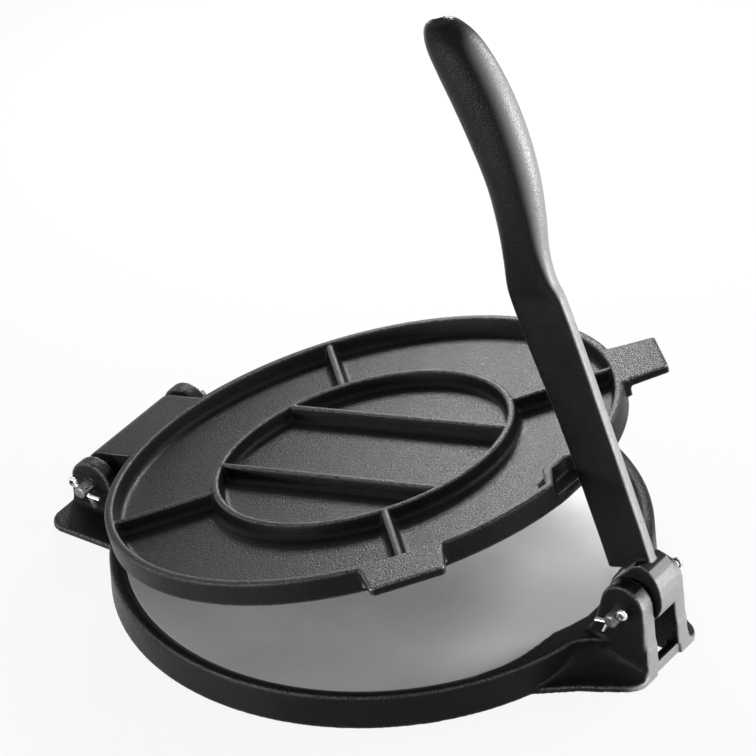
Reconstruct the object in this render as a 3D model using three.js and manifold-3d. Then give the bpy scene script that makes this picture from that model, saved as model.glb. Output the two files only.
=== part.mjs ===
// Cast iron tortilla press: a dished base, a ribbed top plate on a rear hinge and a front lever.
// Millimetres, +Z up, +X towards the lever, Y along both pivot pins.
// The origin is the centre of the base, on the surface that it stands on.
import * as THREE from 'three';
import { mergeVertices } from 'three/addons/utils/BufferGeometryUtils.js';
import Module from 'manifold-3d';

const wasm = await Module();
wasm.setup();

// Clearances
const runningGap = 0.35;
const sideGap = 0.5;
const plateGap = 0.4;

// Base dish
const baseRadius = 133.8;
const baseDraft = 0.5;
const baseHeight = 18.3;
const lipWidth = 5.2;
const lipRound = 1.6;
const lipSlope = 2.2;
const recessDepth = 2.4;
const faceThickness = 6;
const skirtWall = 5.2;
const skirtFillet = 4;

// Ribs under the base
const underRibWall = 5;
const underRingRadius = 66;
const underPadRadius = 16;

// Top plate
const plateSetback = 3.8;
const plateRadius = baseRadius - plateSetback;
const plateHeight = 12.3;
const floorThickness = 4.5;
const rimTop = 4.6;
const rimDraft = 1.4;
const rimFillet = 2.6;
const edgeRound = 0.8;
const ringRadius = 75.8;
const ribTop = 3.4;
const ribDraft = 0.9;
const ribFillet = 2.2;
const ribDrop = 0.6;
const slotRibOffset = 28.9;
const radialRibAngle = 45;
const openLift = 68.269;

// Lifting tabs on the rim
const tabAngle = 45;
const tabReach = 21.5;
const tabEndWidth = 36;
const tabRootWidth = 39.6;
const tabThickness = 4.5;
const tabCorner = 1.5;

// Front notch of the rim, which lets the lever pass
const notchMouth = 37;
const notchBack = 9.5;
const notchDepth = 11.5;
const notchFlat = 1.6;

// Rear hinge
const hingeReach = 14.5;
const hingeX = -baseRadius - hingeReach;
const hingeZ = baseHeight + plateGap;
const knuckleRadius = 11.4;
const knuckleWidth = 58.8;
const hingeEarRadius = 12.2;
const hingeEarWall = 8;
const hingeEarSpan = 83.6;
const hingeEarFlare = 2.6;
const hingePinRadius = 3.5;

// Foot under the rear hinge
const hingeFootHalf = 62;
const hingeFootCorner = 10;
const footEdge = 3;
const footSweep = 6;

// Front clevis
const pivotReach = 17.5;
const pivotX = baseRadius + pivotReach;
const pivotRise = 18.7;
const pivotZ = baseHeight + pivotRise;
const crownForward = 0.6;
const crownRise = 1.6;
const crownX = pivotX + crownForward;
const crownZ = pivotZ + crownRise;
const clevisEarRadius = 12.1;
const clevisGap = 17;
const clevisSpan = 36.6;
const clevisFlare = 3.2;
const clevisBoss = 1.4;
const clevisCorner = 2.2;
const clevisBossFoot = 16;
const clevisBossLean = 5.2;
const shoulderRise = 6.7;
const earShoulder = baseHeight + shoulderRise;
const webHeight = 5.5;
const webWall = 5;
const webSetback = 2;
const leverPinRadius = 3.5;

// Arm and foot that carry the clevis
const armDrop = 1.8;
const armHeight = baseHeight - armDrop;
const armRootHalf = 46;
const armRootInset = 11.8;
const armWaistReach = 9.2;
const armRootX = baseRadius - armRootInset;
const armWaistX = baseRadius + armWaistReach;
const footRootHalf = 54;
const footEndHalf = 28;
const footEndReach = 26.2;
const footEndX = baseRadius + footEndReach;
const plateClearance = 1.1;

// Lever
const leverLean = 18.8;
const barHalfWall = 3.4;
const hubRadius = 13.4;
const leverTip = 300.2;

// Pins stick out past the ears, and a split pin crosses each end
const pinStickOut = 9;
const pinChamfer = 0.6;
const cotterInset = 3.2;
const cotterWire = 0.95;
const cotterHole = 1.6;
const cotterEye = 2.6;
const cotterStem = 9;
const cotterLeg = 7;
const cotterSplay = 28;
const hingeCotterTurn = -62;
const leverCotterTurn = 52;

// Fineness of the curves
const discSteps = 76;
const arcSteps = 6;
const boreSteps = 20;
const grip = { rings: 34, points: 18 };

const rad = THREE.MathUtils.degToRad;

// Materials
const iron = (color, roughness) => new THREE.MeshStandardMaterial({ color, roughness, metalness: 0.75 });
const zinc = () => new THREE.MeshStandardMaterial({ color: 0xc9ccd0, roughness: 0.32, metalness: 0.95 });
const steel = () => new THREE.MeshStandardMaterial({ color: 0x45474a, roughness: 0.4, metalness: 0.9 });

// Solids and geometry
function toSolid(geometry) {
  const bare = geometry.clone();
  bare.deleteAttribute('normal');
  bare.deleteAttribute('uv');
  const merged = mergeVertices(bare, 1e-4);
  const index = merged.index.array;
  const kept = [];
  for (let i = 0; i < index.length; i += 3) {
    const [a, b, c] = [index[i], index[i + 1], index[i + 2]];
    if (a !== b && b !== c && c !== a) kept.push(a, b, c);
  }
  return new wasm.Manifold(new wasm.Mesh({
    numProp: 3,
    vertProperties: new Float32Array(merged.attributes.position.array),
    triVerts: new Uint32Array(kept),
  }));
}

function toGeometry(solid) {
  const mesh = solid.getMesh();
  const geometry = new THREE.BufferGeometry();
  geometry.setAttribute('position', new THREE.BufferAttribute(new Float32Array(mesh.vertProperties), 3));
  geometry.setIndex(new THREE.BufferAttribute(new Uint32Array(mesh.triVerts), 1));
  geometry.computeVertexNormals();
  return geometry;
}

const join = (first, ...rest) => rest.reduce((sum, piece) => sum.add(piece), first);
const cut = (first, ...rest) => rest.reduce((sum, piece) => sum.subtract(piece), first);

// The plane that an outline is drawn on, and the way in which it is extruded
const planes = {
  x: new THREE.Matrix4().makeBasis(
    new THREE.Vector3(0, 1, 0), new THREE.Vector3(0, 0, 1), new THREE.Vector3(1, 0, 0)),
  y: new THREE.Matrix4().makeBasis(
    new THREE.Vector3(1, 0, 0), new THREE.Vector3(0, 0, 1), new THREE.Vector3(0, -1, 0)),
  z: new THREE.Matrix4(),
};

// Extrudes an outline between two places on an axis: YZ along X, XZ along Y or XY along Z
function prism(shape, axis, from, to) {
  const geometry = new THREE.ExtrudeGeometry(shape, {
    depth: to - from, bevelEnabled: false, curveSegments: arcSteps,
  });
  geometry.translate(0, 0, axis === 'y' ? -to : from);
  geometry.applyMatrix4(planes[axis]);
  return toSolid(geometry);
}

const outline = (points) => new THREE.Shape(points.map(([u, v]) => new THREE.Vector2(u, v)));

// Revolves a profile of radius and height about Z
function revolve(points, steps = discSteps) {
  const geometry = new THREE.LatheGeometry(points.map(([r, z]) => new THREE.Vector2(r, z)), steps);
  geometry.rotateX(Math.PI / 2);
  return toSolid(geometry);
}

// Points of an arc, angles in degrees
function arc(u, v, radius, from, to, steps = 4) {
  return Array.from({ length: steps + 1 }, (_, i) => {
    const angle = rad(from + (to - from) * i / steps);
    return [u + radius * Math.cos(angle), v + radius * Math.sin(angle)];
  });
}

// A rod along Y, between two places
function rodY(radius, x, z, from, to, steps = boreSteps) {
  const geometry = new THREE.CylinderGeometry(radius, radius, to - from, steps);
  geometry.translate(x, (from + to) / 2, z);
  return toSolid(geometry);
}

const cylinderZ = (radius, from, to, steps = discSteps) => revolve(
  [[0, from], [radius, from], [radius, to], [0, to]], steps);

// Base
const baseTopRadius = baseRadius - baseDraft;
const faceZ = baseHeight - recessDepth;
const faceRadius = baseTopRadius - lipWidth - lipSlope;

function dish() {
  const under = faceZ - faceThickness;
  const inner = baseRadius - skirtWall;
  return revolve([
    [0, under],
    [inner - skirtFillet, under],
    ...arc(inner - skirtFillet, under - skirtFillet, skirtFillet, 90, 0, 3).slice(1),
    [inner, 0],
    [baseRadius, 0],
    ...arc(baseTopRadius - lipRound, baseHeight - lipRound, lipRound, 0, 90),
    [baseTopRadius - lipWidth, baseHeight],
    [faceRadius + lipSlope * 0.35, baseHeight - recessDepth * 0.5],
    [faceRadius, faceZ],
    [0, faceZ],
  ]);
}

// Crossed ribs, a ring and a centre pad stiffen the pressing face from below
function underRibs() {
  const top = faceZ - faceThickness / 2;
  const reach = baseRadius - skirtWall / 2;
  const bar = outline([
    [-underRibWall / 2, 0], [underRibWall / 2, 0],
    [underRibWall / 2 + ribDraft, top], [-underRibWall / 2 - ribDraft, top],
  ]);
  const along = prism(bar, 'x', -reach, reach);
  const inner = underRingRadius - underRibWall / 2;
  const outer = underRingRadius + underRibWall / 2;
  const ring = revolve([
    [inner, 0], [outer, 0], [outer + ribDraft, top], [inner - ribDraft, top], [inner, 0],
  ], discSteps / 2);
  return join(
    along.rotate([0, 0, radialRibAngle]),
    along.rotate([0, 0, -radialRibAngle]),
    ring,
    cylinderZ(underPadRadius, 0, top, discSteps / 3),
  );
}

// Keeps a lug or an arm out of the hollow under the face and out of the pressing recess
function inside() {
  const under = faceZ - faceThickness;
  const hollow = cylinderZ(baseRadius - skirtWall / 2, -1, under + 1);
  const above = cylinderZ(plateRadius + plateClearance, faceZ - faceThickness / 2, pivotZ * 2);
  return hollow.add(above);
}

// Rear ears on a swept foot
const hingeEarOuter = hingeEarSpan / 2;
const hingeEarInner = hingeEarOuter - hingeEarWall;
const hingeFootEnd = hingeX - hingeEarRadius - hingeEarFlare;

function hingeLug() {
  const ear = outline([
    [hingeFootEnd, 0],
    [hingeX + hingeEarRadius + 14, 0],
    [hingeX + hingeEarRadius + 14, baseHeight * 0.6],
    [hingeX + hingeEarRadius + 1.5, baseHeight * 0.75],
    ...arc(hingeX, hingeZ, hingeEarRadius, 0, 180, 12),
    [hingeFootEnd + 0.8, footEdge],
  ]);
  const ears = join(
    prism(ear, 'y', -hingeEarOuter, -hingeEarInner),
    prism(ear, 'y', hingeEarInner, hingeEarOuter),
  );
  const plan = new THREE.Shape();
  const left = hingeFootEnd;
  const right = hingeX + 34;
  plan.moveTo(right, -hingeFootHalf);
  plan.lineTo(right, hingeFootHalf);
  plan.lineTo(left + hingeFootCorner, hingeFootHalf);
  plan.absarc(left + hingeFootCorner, hingeFootHalf - hingeFootCorner, hingeFootCorner,
    Math.PI / 2, Math.PI, false);
  plan.absarc(left + hingeFootCorner, -hingeFootHalf + hingeFootCorner, hingeFootCorner,
    Math.PI, Math.PI * 1.5, false);
  const sweep = hingeFootHalf - hingeEarOuter - 3;
  const side = arc(hingeFootHalf - 3, footEdge + footSweep, 1, 270, 180, 5)
    .map(([u, v]) => [
      hingeFootHalf - 3 - (hingeFootHalf - 3 - u) * sweep,
      footEdge + footSweep - (footEdge + footSweep - v) * footSweep,
    ]);
  const section = outline([
    [-hingeFootHalf, 0], [hingeFootHalf, 0], [hingeFootHalf, footEdge],
    ...side,
    [hingeEarInner, footEdge + footSweep], [hingeEarInner, footEdge + 1],
    [-hingeEarInner, footEdge + 1], [-hingeEarInner, footEdge + footSweep],
    ...side.map(([u, v]) => [-u, v]).reverse(),
    [-hingeFootHalf, footEdge],
  ]);
  const foot = prism(plan, 'z', 0, baseHeight).intersect(prism(section, 'x', left - 1, right + 1));
  const bore = rodY(hingePinRadius + runningGap, hingeX, hingeZ, -hingeEarSpan, hingeEarSpan);
  return cut(join(ears, foot), bore, inside());
}

// Front arm: a foot, a flared body, two horns on the lip and two ears with a web between them
const clevisOuter = clevisSpan / 2;
const clevisInner = clevisGap / 2;
const clevisEnd = crownX + clevisEarRadius - 0.6 + clevisFlare;

function clevis() {
  const footPlan = new THREE.Shape();
  footPlan.moveTo(armRootX - 8, -footRootHalf);
  footPlan.lineTo(armRootX, -footRootHalf);
  footPlan.lineTo(footEndX, -footEndHalf);
  footPlan.quadraticCurveTo(clevisEnd, -footEndHalf + 2.5, clevisEnd, -clevisOuter);
  footPlan.lineTo(clevisEnd, clevisOuter);
  footPlan.quadraticCurveTo(clevisEnd, footEndHalf - 2.5, footEndX, footEndHalf);
  footPlan.lineTo(armRootX, footRootHalf);
  footPlan.lineTo(armRootX - 8, footRootHalf);
  const foot = prism(footPlan, 'z', 0, footEdge);

  const bodyPlan = new THREE.Shape();
  bodyPlan.moveTo(armRootX, -armRootHalf);
  bodyPlan.quadraticCurveTo(armRootX + 6, -clevisOuter - 2, armWaistX, -clevisOuter - 1.5);
  bodyPlan.lineTo(armWaistX + 4, -clevisOuter + clevisBoss);
  bodyPlan.lineTo(armWaistX + 4, clevisOuter - clevisBoss);
  bodyPlan.lineTo(armWaistX, clevisOuter + 1.5);
  bodyPlan.quadraticCurveTo(armRootX + 6, clevisOuter + 2, armRootX, armRootHalf);
  const body = prism(bodyPlan, 'z', 0, armHeight);

  // The arm roots run in over the lip as two horns, below the closed plate
  const hornSide = [
    [21.8, 59.1], [18.7, 49.8], [16.9, 38.3], [15.5, 26.3], [12, 17.4], [9.1, 7.4], [8, 0],
  ].map(([inset, v]) => [baseRadius - inset, v]);
  const horns = prism(outline([
    ...hornSide.map(([u, v]) => [u, -v]),
    ...hornSide.slice(0, -1).reverse(),
    [armRootX + 12, 59.1], [armRootX + 12, -59.1],
  ]), 'z', faceZ - 2, baseHeight).intersect(cylinderZ(baseTopRadius - lipRound, 0, baseHeight + 1));

  const earTop = (radius) => arc(crownX, crownZ, radius, 0, 150, 10);
  const ear = outline([
    [armRootX, 0],
    [clevisEnd, 0],
    ...earTop(clevisEarRadius),
    [plateRadius + plateClearance + 4, earShoulder],
    [armRootX, baseHeight],
  ]);
  const boss = outline([
    [armWaistX + 3, clevisBossFoot],
    [armWaistX + 4, 0],
    [clevisEnd - clevisCorner, 0],
    ...arc(crownX, crownZ, clevisEarRadius, 0, 170, 11),
    [crownX - clevisEarRadius - clevisBossLean, clevisBossFoot],
  ]);
  const earWall = clevisOuter - clevisBoss;
  const ears = join(
    prism(ear, 'y', -earWall, earWall),
    prism(boss, 'y', -clevisOuter, clevisOuter),
  );
  const slotStart = baseRadius + 0.5;
  const slot = prism(outline([
    [slotStart, webHeight], [clevisEnd + 10, webHeight], [clevisEnd + 10, pivotZ * 2],
    [slotStart - 8, pivotZ * 2], [slotStart - 8, baseHeight], [slotStart, baseHeight],
  ]), 'y', -clevisInner, clevisInner);
  const under = prism(outline([
    [slotStart, -1], [clevisEnd - webSetback - webWall, -1],
    [clevisEnd - webSetback - webWall, webHeight + 1], [slotStart, webHeight + 1],
  ]), 'y', -clevisInner, clevisInner);
  const setback = prism(outline([
    [clevisEnd - webSetback, -1], [clevisEnd + 10, -1],
    [clevisEnd + 10, webHeight + 1], [clevisEnd - webSetback, webHeight + 1],
  ]), 'y', -clevisInner - 2, clevisInner + 2);
  const bore = rodY(leverPinRadius + runningGap, pivotX, pivotZ, -clevisSpan, clevisSpan);
  return cut(join(foot, body, horns, ears), slot, under, setback, bore, inside());
}

function baseCasting() {
  return join(dish(), underRibs(), hingeLug(), clevis());
}

// Top plate, drawn closed with its underside at height 0 and its centre on Z
function plateDisc() {
  const floorRadius = plateRadius - rimTop - rimDraft - rimFillet;
  return revolve([
    [0, 0],
    [plateRadius - edgeRound, 0],
    [plateRadius, edgeRound],
    ...arc(plateRadius - edgeRound, plateHeight - edgeRound, edgeRound, 0, 90, 2),
    ...arc(plateRadius - rimTop + edgeRound, plateHeight - edgeRound, edgeRound, 90, 180, 2),
    ...arc(floorRadius, floorThickness + rimFillet, rimFillet, -15, -90, 4),
    [0, floorThickness],
  ]);
}

// Half of a rib's section, from its top edge down to the floor through a fillet
function ribSide(top) {
  const foot = ribTop / 2 + ribDraft;
  return [
    [ribTop / 2 - 0.5, top],
    [ribTop / 2, top - 0.5],
    ...arc(foot + ribFillet, floorThickness + ribFillet, ribFillet, 195, 270, 3),
    [foot + ribFillet, floorThickness / 2],
  ];
}

function straightRib(from, to, y) {
  const side = ribSide(plateHeight - ribDrop);
  const section = outline([...side.map(([u, v]) => [-u, v]).reverse(), ...side].map(([u, v]) => [u + y, v]));
  return prism(section, 'x', from, to);
}

function plateRibs() {
  const side = ribSide(plateHeight - ribDrop);
  const middle = ringRadius - ribTop / 2;
  const section = [...side.map(([u, v]) => [middle - u, v]).reverse(), ...side.map(([u, v]) => [middle + u, v])];
  const loop = [...section].reverse();
  const ring = revolve([...loop, loop[0]]);
  const chord = Math.sqrt(middle ** 2 - slotRibOffset ** 2);
  const slotRibs = [-1, 1].map((sign) => straightRib(-chord, chord, sign * slotRibOffset));
  const radial = straightRib(middle, plateRadius - rimTop / 2 - 0.5, 0);
  const radials = [0, 1, 2, 3].map((i) => radial.rotate([0, 0, radialRibAngle + 90 * i]));
  return join(ring, ...slotRibs, ...radials);
}

function liftingTab() {
  const root = plateRadius - rimTop / 2;
  const end = plateRadius + tabReach;
  const plan = outline([
    [root, -tabRootWidth / 2 - 1.5],
    [plateRadius + 2.5, -tabRootWidth / 2],
    [end - tabCorner, -tabEndWidth / 2],
    [end, -tabEndWidth / 2 + tabCorner],
    [end, tabEndWidth / 2 - tabCorner],
    [end - tabCorner, tabEndWidth / 2],
    [plateRadius + 2.5, tabRootWidth / 2],
    [root, tabRootWidth / 2 + 1.5],
  ]);
  return prism(plan, 'z', plateHeight - tabThickness, plateHeight);
}

function plateKnuckle() {
  const root = -plateRadius + rimTop / 2 + 1.5;
  const lug = outline([
    [root, 0],
    [root, knuckleRadius],
    ...arc(hingeX, 0, knuckleRadius, 90, 360, 18),
  ]);
  return prism(lug, 'y', -knuckleWidth / 2, knuckleWidth / 2)
    .subtract(cylinderZ(plateRadius - rimTop, -1, plateHeight));
}

// The notch is cut down to the floor, and a flat on the edge of the floor clears the bar
function frontNotch() {
  const back = plateRadius - notchDepth;
  const mouth = prism(outline([
    [back, -notchBack / 2],
    [plateRadius + 4, -notchMouth / 2 - 4],
    [plateRadius + 4, notchMouth / 2 + 4],
    [back, notchBack / 2],
  ]), 'z', floorThickness, plateHeight + 1);
  const flat = prism(outline([
    [plateRadius - notchFlat, -notchMouth], [plateRadius + 4, -notchMouth],
    [plateRadius + 4, notchMouth], [plateRadius - notchFlat, notchMouth],
  ]), 'z', -1, plateHeight + 1);
  return mouth.add(flat);
}

// The rim turns in and follows the notch
function notchWall() {
  const back = plateRadius - notchDepth - rimTop * 0.8;
  const wall = prism(outline([
    [back, -notchBack / 2 - rimTop * 0.5],
    [plateRadius - 3, -notchMouth / 2 - rimTop],
    [plateRadius - 3, notchMouth / 2 + rimTop],
    [back, notchBack / 2 + rimTop * 0.5],
  ]), 'z', floorThickness / 2, plateHeight);
  return wall.intersect(cylinderZ(plateRadius - 0.3, 0, plateHeight + 1));
}

function topPlateCasting() {
  const tabs = [-1, 1].map((sign) => liftingTab().rotate([0, 0, sign * tabAngle]));
  const bore = rodY(hingePinRadius + runningGap, hingeX, 0, -knuckleWidth, knuckleWidth);
  return cut(
    join(plateDisc(), plateRibs(), notchWall(), ...tabs, plateKnuckle()),
    frontNotch(),
    bore,
  );
}

// Lever, drawn about its pivot: u points outwards from the press and w along the bar
// Sections: distance along the bar, centre, half depth, half wall and squareness
const leverSections = [
  [17.2, 1.45, 13.2, barHalfWall, 6],
  [35.2, 1.95, 13.3, barHalfWall, 6],
  [91.2, 2.45, 13.6, barHalfWall, 6],
  [131.2, 1.65, 14.7, barHalfWall, 6],
  [157.2, 1.15, 14.7, barHalfWall + 0.3, 5],
  [165.2, 0.75, 13.6, barHalfWall + 1.2, 3.6],
  [179.2, 3.25, 12.5, 6.2, 2.6],
  [197.2, 7.75, 13.1, 8.2, 2.2],
  [217.2, 11.05, 14.2, 9.8, 2],
  [238.2, 11.55, 15.4, 10.7, 2],
  [258.2, 10.05, 15.9, 11, 2],
  [275.2, 7.15, 15.4, 10.8, 2],
  [288.2, 3.95, 13.4, 9.7, 2],
  [296.2, 1.55, 9.3, 6.8, 2],
];

// Reads a smooth curve through one column of the sections
function sectionAt(w, column) {
  const rows = leverSections;
  let i = 0;
  while (i < rows.length - 2 && w > rows[i + 1][0]) i += 1;
  const slope = (k) => {
    const a = rows[Math.max(k - 1, 0)];
    const b = rows[Math.min(k + 1, rows.length - 1)];
    return (b[column] - a[column]) / (b[0] - a[0]);
  };
  const span = rows[i + 1][0] - rows[i][0];
  const t = (w - rows[i][0]) / span;
  const [t2, t3] = [t * t, t * t * t];
  return (2 * t3 - 3 * t2 + 1) * rows[i][column] + (t3 - 2 * t2 + t) * span * slope(i)
    + (3 * t2 - 2 * t3) * rows[i + 1][column] + (t3 - t2) * span * slope(i + 1);
}

// Bar and grip: one loft whose section turns from a flat bar into an oval
function barAndGrip() {
  const start = leverSections[0][0];
  const end = leverSections[leverSections.length - 1][0];
  const positions = [];
  const index = [];
  const ringAt = (w) => {
    const [centre, depth, wall, square] = [1, 2, 3, 4].map((column) => sectionAt(w, column));
    for (let k = 0; k < grip.points; k += 1) {
      const angle = 2 * Math.PI * (k + 0.5) / grip.points;
      const [c, s] = [Math.cos(angle), Math.sin(angle)];
      positions.push(
        centre + depth * Math.sign(c) * Math.abs(c) ** (2 / square),
        wall * Math.sign(s) * Math.abs(s) ** (2 / square),
        w,
      );
    }
  };
  for (let i = 0; i <= grip.rings; i += 1) {
    ringAt(start + (end - start) * i / grip.rings);
  }
  const last = leverSections[leverSections.length - 1];
  const capCentre = [last[1] - 1, 0, leverTip];
  positions.push(sectionAt(start, 1), 0, start);
  positions.push(...capCentre);
  const bottom = (grip.rings + 1) * grip.points;
  const n = grip.points;
  for (let i = 0; i < grip.rings; i += 1) {
    for (let k = 0; k < n; k += 1) {
      const [a, b] = [i * n + k, i * n + (k + 1) % n];
      index.push(a, b, b + n, a, b + n, a + n);
    }
  }
  for (let k = 0; k < n; k += 1) {
    index.push(bottom, (k + 1) % n, k);
    index.push(bottom + 1, grip.rings * n + k, grip.rings * n + (k + 1) % n);
  }
  const geometry = new THREE.BufferGeometry();
  geometry.setAttribute('position', new THREE.Float32BufferAttribute(positions, 3));
  geometry.setIndex(index);
  return toSolid(geometry);
}

function leverHub() {
  const hub = outline([
    ...arc(0, 0, hubRadius, 115, 290, 12),
    [12.6, -8.5], [16.4, -4], [18.2, 1], [18.8, 6], [18.3, 11.5], [16.2, 16.3], [12.4, 19.3], [7.5, 19],
  ]);
  return prism(hub, 'y', -clevisInner + sideGap, clevisInner - sideGap);
}

function leverCasting() {
  const bore = rodY(leverPinRadius + runningGap, 0, 0, -clevisSpan, clevisSpan);
  return join(barAndGrip(), leverHub()).subtract(bore);
}

// A plain pin with a small chamfer at each end and a cross hole for each split pin
function pivotPin(radius, span, turn) {
  const half = span / 2 + pinStickOut;
  const rod = revolve([
    [0, -half], [radius - pinChamfer, -half], [radius, -half + pinChamfer],
    [radius, half - pinChamfer], [radius - pinChamfer, half], [0, half],
  ], boreSteps).rotate([90, 0, 0]);
  const hole = cylinderZ(cotterHole, -radius * 2, radius * 2, 12).rotate([0, turn, 0]);
  return cut(rod, ...[-1, 1].map((side) => hole.translate([0, side * (half - cotterInset), 0])));
}

// A wire with round section along a curve
function wire(curve, radius, steps) {
  const section = new THREE.Shape();
  section.absarc(0, 0, radius, 0, Math.PI * 2);
  const geometry = new THREE.ExtrudeGeometry(section, {
    steps, extrudePath: curve, bevelEnabled: false, curveSegments: 3,
  });
  return toSolid(geometry);
}

// A split pin: a round eye, a doubled stem and two legs that are bent apart
function splitPin() {
  const stemTop = cotterStem / 2;
  const eye = new THREE.CatmullRomCurve3(arc(0, stemTop + cotterEye, cotterEye, -80, 260, 12)
    .map(([u, v]) => new THREE.Vector3(u, 0, v)));
  const legs = [-1, 1].map((side) => {
    const bend = rad(cotterSplay);
    const foot = new THREE.Vector3(
      side * (cotterWire * 0.5 + Math.sin(bend) * cotterLeg), 0, -stemTop - Math.cos(bend) * cotterLeg);
    return wire(new THREE.CatmullRomCurve3([
      new THREE.Vector3(side * cotterWire * 0.5, 0, stemTop + 0.6),
      new THREE.Vector3(side * cotterWire * 0.5, 0, 0),
      new THREE.Vector3(side * cotterWire * 0.5, 0, -stemTop + 0.6),
      foot,
    ]), cotterWire * 0.8, 6);
  });
  return join(wire(eye, cotterWire, 12), ...legs);
}

// Scene graph
const press = new THREE.Group();

function addPiece(parent, name, solid, material) {
  const mesh = new THREE.Mesh(toGeometry(solid), material);
  mesh.name = name;
  parent.add(mesh);
  return mesh;
}

function addPinSet(names, x, z, radius, span, turn) {
  const axle = new THREE.Group();
  axle.position.set(x, 0, z);
  press.add(axle);
  addPiece(axle, names.pin, pivotPin(radius, span, turn), steel());
  [-1, 1].forEach((side, i) => {
    const clip = addPiece(axle, names.clips[i], splitPin(), zinc());
    clip.position.y = side * (span / 2 + pinStickOut - cotterInset);
    clip.rotation.y = rad(turn);
  });
}

addPiece(press, 'base_casting', baseCasting(), iron(0x26282a, 0.5));

// The plate stands open, its front edge lifted clear of the bar of the lever
const plateHinge = new THREE.Group();
plateHinge.position.set(hingeX, 0, hingeZ);
plateHinge.rotation.y = -Math.asin(openLift / (plateRadius - hingeX));
press.add(plateHinge);
const plate = addPiece(plateHinge, 'top_plate_casting', topPlateCasting(), iron(0x2c2e2f, 0.5));
plate.position.set(-hingeX, 0, 0);

const leverPivot = new THREE.Group();
leverPivot.position.set(pivotX, 0, pivotZ);
leverPivot.rotation.y = -rad(leverLean);
press.add(leverPivot);
addPiece(leverPivot, 'lever_casting', leverCasting(), iron(0x232526, 0.5));

addPinSet({ pin: 'hinge_pin', clips: ['hinge_cotter_left', 'hinge_cotter_right'] },
  hingeX, hingeZ, hingePinRadius, hingeEarSpan, hingeCotterTurn);
addPinSet({ pin: 'lever_pin', clips: ['lever_cotter_left', 'lever_cotter_right'] },
  pivotX, pivotZ, leverPinRadius, clevisSpan, leverCotterTurn);

export default press;
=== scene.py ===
import math

import bmesh
import bpy
import numpy as np
from mathutils import Matrix, Vector


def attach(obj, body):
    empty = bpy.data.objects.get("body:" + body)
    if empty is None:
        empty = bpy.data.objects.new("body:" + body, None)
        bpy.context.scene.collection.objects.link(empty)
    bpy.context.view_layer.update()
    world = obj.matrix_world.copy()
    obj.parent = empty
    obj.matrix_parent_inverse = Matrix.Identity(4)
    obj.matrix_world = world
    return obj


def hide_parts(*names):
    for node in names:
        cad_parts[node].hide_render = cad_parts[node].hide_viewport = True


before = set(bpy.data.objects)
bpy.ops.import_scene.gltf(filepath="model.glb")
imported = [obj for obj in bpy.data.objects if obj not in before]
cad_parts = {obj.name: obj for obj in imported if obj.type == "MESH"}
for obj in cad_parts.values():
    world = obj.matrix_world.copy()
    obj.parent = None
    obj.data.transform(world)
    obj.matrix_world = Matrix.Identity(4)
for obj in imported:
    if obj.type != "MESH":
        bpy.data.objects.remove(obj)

for startupName in ("Cube", "Light", "Camera"):
    if startupName in bpy.data.objects:
        bpy.data.objects.remove(bpy.data.objects[startupName])
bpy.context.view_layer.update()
print("frame loaded, nodes:", ", ".join(sorted(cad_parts)))

mm = 0.001  # sizes are in mm here, and in metres in the scene


# Camera, long lens from the front left and above

cameraView = {
    "azimuth": -52.095,  # where the camera stands, counted from +X
    "elevation": 33.765,
    "roll": -4.592,
    "distance": 2.4,
    "target": (-0.058468, 0.082166, 0.04),
    "lens": 227.29,
    "sensor": 36.0,
}


def makeCamera(v):
    az, el, roll = (math.radians(v[k]) for k in ("azimuth", "elevation", "roll"))
    back = Vector((math.cos(el) * math.cos(az), math.cos(el) * math.sin(az), math.sin(el)))
    side = Vector((0, 0, 1)).cross(back).normalized()
    up = back.cross(side)
    right = math.cos(roll) * side + math.sin(roll) * up
    top = -math.sin(roll) * side + math.cos(roll) * up
    place = Vector(v["target"]) + back * v["distance"]
    data = bpy.data.cameras.new("photoCamera")
    data.lens = v["lens"]
    data.sensor_width = v["sensor"]
    data.clip_start, data.clip_end = 0.1, 20
    camera = bpy.data.objects.new("photoCamera", data)
    turn = Matrix((right, top, back)).transposed().to_4x4()
    camera.matrix_world = Matrix.Translation(place) @ turn
    bpy.context.scene.collection.objects.link(camera)
    bpy.context.scene.camera = camera


makeCamera(cameraView)


# Mesh helpers: every solid is a list of points in mm and a list of faces

def arc(u, v, radius, start, end, steps=6):
    turns = np.radians(np.linspace(start, end, steps + 1))
    return [(u + radius * math.cos(t), v + radius * math.sin(t)) for t in turns]


def circle(radius, steps, u=0, v=0):
    return arc(u, v, radius, 0, 360, steps)[:-1]


# The same number of points in every ring, joined ring by ring
def loft(rings, closed=True):
    points = [p for ring in rings for p in ring]
    n = len(rings[0])
    faces = []
    for i in range(len(rings) - 1):
        for k in range(n):
            a, b = i * n + k, i * n + (k + 1) % n
            faces.append((a, b, b + n, a + n))
    if closed:
        faces.append(tuple(reversed(range(n))))
        faces.append(tuple(range((len(rings) - 1) * n, len(rings) * n)))
    return points, faces


# An outline drawn out along an axis, where "y" takes points of x and z
def prism(outline, axis, low, high):
    place = {
        "x": lambda u, v, w: (w, u, v),
        "y": lambda u, v, w: (u, -w, v),
        "z": lambda u, v, w: (u, v, w),
    }[axis]
    ends = (-high, -low) if axis == "y" else (low, high)
    return loft([[place(u, v, w) for u, v in outline] for w in ends])


# A profile of radius and height turned about Z
def revolve(profile, steps, start=0, end=360):
    full = end - start >= 360
    turns = np.radians(np.linspace(start, end, steps + 1))[: steps if full else steps + 1]
    rings = [[(r * math.cos(t), r * math.sin(t), z) for r, z in profile] for t in turns]
    if full:
        rings.append(rings[0])
    return loft(rings, closed=not full)


def moved(solid, matrix):
    points, faces = solid
    return [tuple(matrix @ Vector(p)) for p in points], faces


def turnedZ(solid, degrees):
    return moved(solid, Matrix.Rotation(math.radians(degrees), 4, "Z"))


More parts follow.
